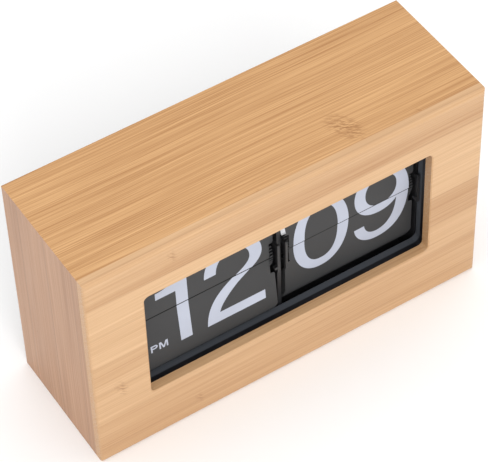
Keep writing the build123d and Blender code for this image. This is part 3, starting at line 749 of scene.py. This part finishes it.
def arc(
    centre: Point, reach: Point, start: float, end: float, power: float = 2.0, steps: int = 28
) -> list[Point]:
    """Points along a squared-off ellipse.

    Args:
        centre: Middle of the ellipse.
        reach: Half its width and half its height.
        start: First angle in degrees, from +x towards +y.
        end: Last angle in degrees.
        power: 2 for a plain ellipse, more for a squarer one.
        steps: How many parts the arc has.

    Returns:
        The points, both ends included.
    """
    points = []
    for step in range(steps + 1):
        turn = math.radians(start + (end - start) * step / steps)
        cosine, sine = math.cos(turn), math.sin(turn)
        x = math.copysign(abs(cosine) ** (2 / power), cosine)
        y = math.copysign(abs(sine) ** (2 / power), sine)
        points.append((centre[0] + reach[0] * x, centre[1] + reach[1] * y))
    return points


def bend(start: Point, pull_start: Point, pull_end: Point, end: Point, steps: int = 20) -> list[Point]:
    """Points along a cubic curve.

    Args:
        start: Where the curve starts.
        pull_start: Point that the curve heads for at first.
        pull_end: Point that the curve comes from at last.
        end: Where the curve ends.
        steps: How many parts the curve has.

    Returns:
        The points, without the first.
    """
    points = []
    for step in range(1, steps + 1):
        t = step / steps
        weights = ((1 - t) ** 3, 3 * t * (1 - t) ** 2, 3 * t * t * (1 - t), t ** 3)
        spread = zip(weights, (start, pull_start, pull_end, end))
        pairs = [(weight * x, weight * y) for weight, (x, y) in spread]
        points.append((sum(x for x, _ in pairs), sum(y for _, y in pairs)))
    return points


def ordered_mesh(name: str, cut: bmesh.types.BMesh) -> bpy.types.Mesh:
    """Write out a worked mesh with its corners and faces in an order that is the same in each run.

    Args:
        name: The new mesh's name.
        cut: The worked mesh.

    Returns:
        The new mesh.
    """
    corners = sorted(cut.verts, key=lambda corner: tuple(corner.co))
    numbers = {corner: number for number, corner in enumerate(corners)}
    faces = []
    for face in cut.faces:
        ring = [numbers[corner] for corner in face.verts]
        first = ring.index(min(ring))
        faces.append(ring[first:] + ring[:first])
    mesh = bpy.data.meshes.new(name)
    mesh.from_pydata([tuple(corner.co) for corner in corners], [], sorted(faces))
    return mesh


# ---------------------------------------------------------------- numerals
class Half(Enum):
    """Which half of a numeral a leaf carries."""

    UPPER = 1
    LOWER = -1


@dataclass(frozen=True)
class Numerals:
    """Drawn figures of the leaves, in millimetres, each round its own middle and level with the split."""

    reach: float = 22.4
    stem: float = 5.95
    bar: float = 5.3

    def nought(self) -> list[Loop]:
        """Draw the nought.

        Returns:
            Its outline and its inside.
        """
        centre = (0, -0.15)
        outside = arc(centre, (14.85, self.reach), 0, 360, 2.17, 96)[:-1]
        inside = arc(centre, (8.95, self.reach - self.bar), 0, 360, 2.4, 96)[:-1]
        return [outside, inside]

    def one(self) -> list[Loop]:
        """Draw the one.

        Returns:
            Its outline, with the stem's right side and the flag's tip as far from the middle.
        """
        side = 8.05
        left, foot, top = side - self.stem, -self.reach + 0.2, self.reach - 0.1
        loop = [(side, foot), (side, top), (side - 4.6, top)]
        loop += bend(loop[-1], (side - 6.2, 15.4), (6.0 - side, 13.7), (-side, 13.6))
        loop += [(-side, 9.5), (left, 9.5), (left, foot)]
        return [loop]

    def two(self) -> list[Loop]:
        """Draw the two.

        Returns:
            Its outline.
        """
        loop = [(-15.35, -22.4), (15.35, -22.4), (15.35, -17.1), (-8.4, -17.1)]
        loop += bend(loop[-1], (-7.4, -13.4), (-3.8, -9.4), (1.9, -4.8))
        loop += bend(loop[-1], (8.6, -0.2), (15.3, 2.4), (15.3, 9.2))
        loop += bend(loop[-1], (15.3, 17.2), (9.2, 22.4), (0.6, 22.4))
        loop += bend(loop[-1], (-8.8, 22.4), (-14.7, 16.6), (-14.75, 7.0))
        loop += [(-8.65, 7.0)]
        loop += bend(loop[-1], (-8.5, 13.4), (-5.2, 17.2), (0.4, 17.2))
        loop += bend(loop[-1], (5.6, 17.2), (8.9, 13.8), (8.9, 9.0))
        loop += bend(loop[-1], (8.9, 4.4), (4.0, 2.1), (-1.2, -1.0))
        loop += bend(loop[-1], (-9.6, -5.9), (-14.6, -11.6), (-15.35, -22.4))[:-1]
        return [loop]

    def nine(self) -> list[Loop]:
        """Draw the nine.

        Returns:
            Its outline and the inside of its bowl.
        """
        loop = [(-14.75, -11.1)]
        loop += bend(loop[-1], (-13.8, -18.4), (-8.6, -22.6), (-2.0, -22.6))
        loop += bend(loop[-1], (8.6, -22.6), (14.85, -14.4), (14.85, 2.6))
        loop += bend(loop[-1], (14.85, 15.4), (9.2, 22.3), (-0.2, 22.3))
        loop += bend(loop[-1], (-8.8, 22.3), (-14.8, 16.4), (-14.8, 8.4))
        loop += bend(loop[-1], (-14.8, 0.2), (-9.4, -5.9), (-1.4, -5.9))
        loop += bend(loop[-1], (2.8, -5.9), (6.2, -4.4), (8.2, -1.5))
        loop += bend(loop[-1], (7.7, -12.0), (3.8, -17.9), (-2.4, -17.9))
        loop += bend(loop[-1], (-6.2, -17.9), (-8.6, -15.4), (-9.3, -11.0))
        return [loop, arc((-0.4, 8.35), (8.5, 8.75), 0, 360, 2.15, 72)[:-1]]

    def afternoon(self) -> list[Loop]:
        """Draw the small capital letters that mark the afternoon hours.

        Returns:
            The P, its inside and the M. The lower left corner of the P is at 0, 0.
        """
        tall, thick = 3.9, 0.78
        bowl_low = 1.55
        middle, reach = (bowl_low + tall) / 2, (tall - bowl_low) / 2
        letter_p = [(0, 0), (thick, 0), (thick, bowl_low)]
        letter_p += arc((2.2, middle), (1.35, reach), -90, 90, 2.0, 16) + [(0, tall)]
        inside_p = [(thick, bowl_low + thick), (thick, tall - thick)]
        inside_p += arc((2.15, middle), (0.65, reach - thick), 90, -90, 2.0, 16)
        left = 4.3
        waist, wide = left + 2.25, 4.5
        right, notch = left + wide, 1.1
        letter_m = [
            (left, 0), (left + thick, 0), (left + thick, tall - notch), (waist - 0.35, 0), (waist + 0.35, 0),
            (right - thick, tall - notch), (right - thick, 0), (right, 0), (right, tall),
            (right - 1.15, tall), (waist, notch), (left + 1.15, tall), (left, tall),
        ]
        return [letter_p, inside_p, letter_m]


@dataclass
class LeafFace:
    """Flat face of a leaf that carries print, and how far along it the figures are cut off."""

    point: Vector
    normal: Vector
    upward: Vector
    low: float
    high: float
    turned: Matrix = field(default_factory=lambda: Matrix.Identity(4))

    @classmethod
    def of(cls, name: str, facing: Vector, split: float, turned: Matrix | None = None) -> "LeafFace":
        """Find a leaf's broad face.

        Args:
            name: The leaf's CAD node.
            facing: Roughly where the face looks once the leaf is turned.
            split: Height of the line between the two halves.
            turned: How the leaf has moved from rest when the face is seen.

        Returns:
            The face, measured upwards from the split line.
        """
        facing_share = 0.9
        turned = turned or Matrix.Identity(4)
        mesh = frame["nodes"][name].data
        spin = turned.to_3x3()
        seen = [p for p in mesh.polygons if (spin @ p.normal).dot(facing) > facing_share]
        broad = max(seen, key=lambda polygon: polygon.area)
        normal = (spin @ broad.normal).normalized()
        corner = turned @ mesh.vertices[broad.vertices[0]].co
        sideways = Vector((1, 0, 0))
        upward = sideways.cross(normal).normalized()
        upward = upward if upward.z > 0 else -upward
        point = corner + upward * ((split - corner.z) / upward.z)
        point.x = 0
        outline = [turned @ mesh.vertices[index].co for polygon in seen for index in polygon.vertices]
        level = [(place - point).dot(upward) for place in outline]
        return cls(point, normal, upward, min(level), max(level), turned)

    def lay(self, x: float, along: float, proud: float) -> Vector:
        """Place a drawn point on the face, back where the leaf is at rest."""
        seen = self.point + Vector((1, 0, 0)) * x + self.upward * along + self.normal * proud
        return self.turned.inverted() @ seen


@dataclass
class Print:
    """Thin layer of ink on one leaf."""

    name: str
    body: str
    face: LeafFace
    half: Half
    ink: float = 0.012 * MM
    back_share: float = 0.15
    gap: float = 0.22 * MM
    loops: list[Loop] = field(default_factory=list)

    def figure(self, loops: Iterable[Loop], middle: float, level: float = 0.0) -> None:
        """Add a drawn figure, in millimetres, at a place on the leaf in metres."""
        for loop in loops:
            self.loops.append([(middle + x * MM, level + y * MM) for x, y in loop])

    def build(self, material: bpy.types.Material) -> bpy.types.Object:
        """Fill the figures, cut them at the leaf's edge and lay them on it.

        Args:
            material: The ink.

        Returns:
            The print, riding on its leaf's body.
        """
        cut = bmesh.new()
        edges = []
        for loop in self.loops:
            corners = [cut.verts.new((x, y, 0)) for x, y in loop]
            edges += [cut.edges.new(pair) for pair in zip(corners, corners[1:] + corners[:1])]
        bmesh.ops.triangle_fill(cut, edges=edges, use_beauty=True, normal=(0, 0, 1))
        side = self.half.value
        edge = max(self.face.low, 0) if self.half is Half.UPPER else min(self.face.high, 0)
        everything = cut.verts[:] + cut.edges[:] + cut.faces[:]
        line = (0, edge + side * self.gap, 0)
        bmesh.ops.bisect_plane(
            cut, geom=everything, plane_co=line, plane_no=(0, side, 0), clear_inner=True
        )
        raised = bmesh.ops.extrude_face_region(cut, geom=cut.faces[:])
        top = {item for item in raised["geom"] if isinstance(item, bmesh.types.BMVert)}
        for corner in cut.verts:
            proud = self.ink if corner in top else self.ink * self.back_share
            corner.co = self.face.lay(corner.co.x, corner.co.y, proud)
        bmesh.ops.recalc_face_normals(cut, faces=cut.faces[:])
        mesh = ordered_mesh(self.name, cut)
        cut.free()
        mesh.materials.append(material)
        piece = bpy.data.objects.new(self.name, mesh)
        bpy.context.scene.collection.objects.link(piece)
        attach(piece, self.body)
        log.info("%s has %d faces", self.name, len(mesh.polygons))
        return piece


# ---------------------------------------------------------------- sub-assemblies
@dataclass
class BambooBox:
    """Box of five bamboo boards round the works."""

    front: BambooFinish = FRONT_BAMBOO
    top: BambooFinish = TOP_BAMBOO
    side: BambooFinish = SHADED_SIDE_BAMBOO

    def build(self) -> None:
        """Dress the boards and the blocks in the corners."""
        dress(self.front.material(), "front_panel")
        dress(self.top.material(), "top_board", "bottom_board")
        # The side boards' colour is partly painted shade.
        dress(self.side.material(), "left_board", "right_board")
        dress(PLAIN_WOOD.material(), "corner_blocks")


@dataclass
class BezelAndBack:
    """Black frame behind the window, and the cover with its battery door."""

    bezel: BezelFinish = BEZEL_BLACK
    cover: MouldedFinish = COVER_BLACK

    def build(self) -> None:
        """Dress the mouldings, their screws and the cells."""
        dress(self.bezel.material(), "bezel_frame")
        dress(self.cover.material(), "back_cover", "battery_door", "battery_tray")
        dress(SCREW_STEEL.material(), "back_screws", "base_screws")
        dress(CONTACT_STEEL.material(), "battery_contacts", "battery_spring")
        dress(CELL_SLEEVE.material(), "battery_cells")


@dataclass
class Movement:
    """Side plates, drums, wheels and motor."""

    plates: MouldedFinish = PLATE_BLACK
    drums: MouldedFinish = DRUM_BLACK
    wheels: MouldedFinish = GEAR_WHITE

    def build(self) -> None:
        """Dress the works."""
        plates = ("hour_side_plate", "minute_side_plate", "centre_plate", "movement_base")
        dress(self.plates.material(), *plates)
        dress(CATCH_BLACK.material(), "hour_leaf_catches", "minute_leaf_catches")
        dress(self.drums.material(), "hour_drum", "minute_drum", "setting_wheel")
        dress(self.wheels.material(), "hour_wheel", "minute_wheel", "compound_wheel", "motor_pinion")
        dress(BRASS.material(), "cannon_pinion", "motor_pillars")
        dress(BRIGHT_STEEL.material(), "axle", "compound_post", "setting_post", "tie_rods", "release_spring")
        dress(SCREW_STEEL.material(), "motor_screws")
        dress(MOTOR_STEEL.material(), "drive_motor")
        dress(BOARD_GREEN.material(), "circuit_board")
        dress(CHIP_BLACK.material(), "drive_electronics")


@dataclass
class LeafDisplay:
    """Leaves of the hours and the minutes, with their printed figures."""

    split: float = SPLIT_HEIGHT
    hour_tens: float = -17.77 * MM
    hour_units: float = 13.60 * MM
    minute_tens: float = -15.43 * MM
    minute_units: float = 17.45 * MM
    mark_corner: Point = (-31.05 * MM, -20.95 * MM)
    numerals: Numerals = field(default_factory=Numerals)

    def fallen(self, kind: str) -> Matrix:
        """Find where a leaf's joint takes it when it has fallen.

        Args:
            kind: hour or minute.

        Returns:
            The leaf's move from rest.
        """
        hinge = joint(f"{kind}_leaf_fall")
        place = Vector(hinge["pos_m"])
        turn = Matrix.Rotation(math.radians(hinge["range_deg"][1]), 4, Vector(hinge["axis"]))
        return Matrix.Translation(place) @ turn @ Matrix.Translation(-place)

    def middle(self, leaf: str) -> float:
        """Middle of a leaf's width."""
        low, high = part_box(leaf)
        return (low.x + high.x) / 2

    def print_on(
        self, kind: str, place: str, body: str, half: Half, face: LeafFace,
        figures: Sequence[tuple[list[Loop], float]], ink: bpy.types.Material, marked: bool = False,
    ) -> None:
        """Print one half of a number on a leaf.

        Args:
            kind: hour or minute.
            place: Which leaf of the set, for the print's name.
            body: The body that the leaf rides on.
            half: The half of the number.
            face: The leaf's face.
            figures: Each figure and its place from the middle of the leaf, in metres.
            ink: The print's material.
            marked: Whether the afternoon's mark is printed too.
        """
        middle = self.middle(f"{kind}_leaf_upper")
        layer = Print(f"{kind}_print_{place}", body, face, half)
        for loops, offset in figures:
            layer.figure(loops, middle + offset)
        if marked:
            across, level = self.mark_corner
            layer.figure(self.numerals.afternoon(), middle + across, level)
        layer.build(ink)

    def build(self) -> None:
        """Dress the leaves and print the numbers on show and the next ones."""
        places = ("upper", "lower", "next", "stack")
        leaves = [f"{kind}_leaf_{place}" for kind in ("hour", "minute") for place in places]
        dress(LEAF_BLACK.material(), *leaves)
        ink = PRINT_WHITE.material()
        forward, drawn = Vector((0, -1, 0)), self.numerals
        twelve = [(drawn.one(), self.hour_tens), (drawn.two(), self.hour_units)]
        hour_one = [(drawn.one(), self.hour_units)]
        nought_nine = [(drawn.nought(), self.minute_tens), (drawn.nine(), self.minute_units)]
        ten = [(drawn.one(), self.minute_tens), (drawn.nought(), self.minute_units)]
        rows = (("hour", twelve, hour_one, True), ("minute", nought_nine, ten, False))
        for kind, shown, coming, marked in rows:
            face = LeafFace.of(f"{kind}_leaf_upper", forward, self.split)
            self.print_on(kind, "upper", f"{kind}_leaf", Half.UPPER, face, shown, ink)
            face = LeafFace.of(f"{kind}_leaf_lower", forward, self.split)
            self.print_on(kind, "lower", "case", Half.LOWER, face, shown, ink, marked)
            face = LeafFace.of(f"{kind}_leaf_next", forward, self.split)
            self.print_on(kind, "next", "case", Half.UPPER, face, coming, ink)
            face = LeafFace.of(f"{kind}_leaf_upper", forward, self.split, self.fallen(kind))
            self.print_on(kind, "turning", f"{kind}_leaf", Half.LOWER, face, coming, ink, marked)


# ---------------------------------------------------------------- studio
@dataclass(frozen=True)
class SoftLight:
    """Large square soft box."""

    name: str
    place: tuple[float, float, float]
    size: float
    power: float

    def build(self, target: Vector) -> None:
        """Hang the light and aim it.

        Args:
            target: The point that it shines at.
        """
        data = bpy.data.lights.new(self.name, "AREA")
        data.shape, data.size, data.energy = "SQUARE", self.size, self.power
        lamp = bpy.data.objects.new(self.name, data)
        lamp.location = self.place
        lamp.rotation_euler = (target - lamp.location).to_track_quat("-Z", "Y").to_euler()
        bpy.context.scene.collection.objects.link(lamp)


@dataclass
class Studio:
    """Pale floor, soft light and the camera."""

    eye: tuple[float, float, float] = (-0.37470, -0.61564, 0.87169)
    aim: tuple[float, float, float] = (0.34265, 0.56836, -0.74803)
    right: tuple[float, float, float] = (0.84127, -0.54004, -0.02497)
    lens: float = 177.83
    sensor: float = 36.0
    nearest: float = 10.0 * MM
    floor_half: float = 3.0
    floor_drop: float = 0.05 * MM
    room_light: float = 0.80
    lights: tuple[SoftLight, ...] = (
        SoftLight("key light", (-0.5, -1.7, 1.4), 1.2, 21.0),
        SoftLight("top light", (0.2, 0.3, 1.9), 1.6, 8.0),
    )

    def camera(self) -> None:
        """Set up the camera."""
        data = bpy.data.cameras.new("camera")
        data.lens, data.sensor_width, data.clip_start = self.lens, self.sensor, self.nearest
        camera = bpy.data.objects.new("camera", data)
        back, across = -Vector(self.aim), Vector(self.right)
        up = back.cross(across)
        turn = Matrix((across, up, back)).transposed().to_4x4()
        camera.matrix_world = Matrix.Translation(Vector(self.eye)) @ turn
        bpy.context.scene.collection.objects.link(camera)
        bpy.context.scene.camera = camera

    def floor(self) -> None:
        """Lay the pale floor."""
        half, level = self.floor_half, -self.floor_drop
        mesh = bpy.data.meshes.new("floor")
        corners = [(-half, -half, level), (half, -half, level), (half, half, level), (-half, half, level)]
        mesh.from_pydata(corners, [], [(0, 1, 2, 3)])
        mesh.materials.append(FLOOR_PAPER.material())
        plane = bpy.data.objects.new("floor", mesh)
        bpy.context.scene.collection.objects.link(plane)

    def world(self) -> None:
        """Fill the room with plain white light."""
        world = bpy.data.worlds.new("studio")
        world.use_nodes = True
        background = world.node_tree.nodes["Background"]
        background.inputs["Color"].default_value = (1.0, 1.0, 1.0, 1.0)
        background.inputs["Strength"].default_value = self.room_light
        bpy.context.scene.world = world

    def build(self) -> None:
        """Build the studio."""
        self.camera()
        self.floor()
        self.world()
        low, high = CAD_BOX
        target = (Vector(low) + Vector(high)) / 2
        for light in self.lights:
            light.build(target)
        bpy.context.scene.view_settings.view_transform = "Standard"


def main() -> None:
    """Build the clock's looks and its studio."""
    logging.basicConfig(level=logging.INFO, format="%(name)s: %(message)s")
    Studio().build()
    for assembly in (BambooBox(), BezelAndBack(), Movement(), LeafDisplay()):
        assembly.build()
        log.info("%s done", type(assembly).__name__)
    bpy.context.view_layer.update()


if __name__ == "__main__":
    main()
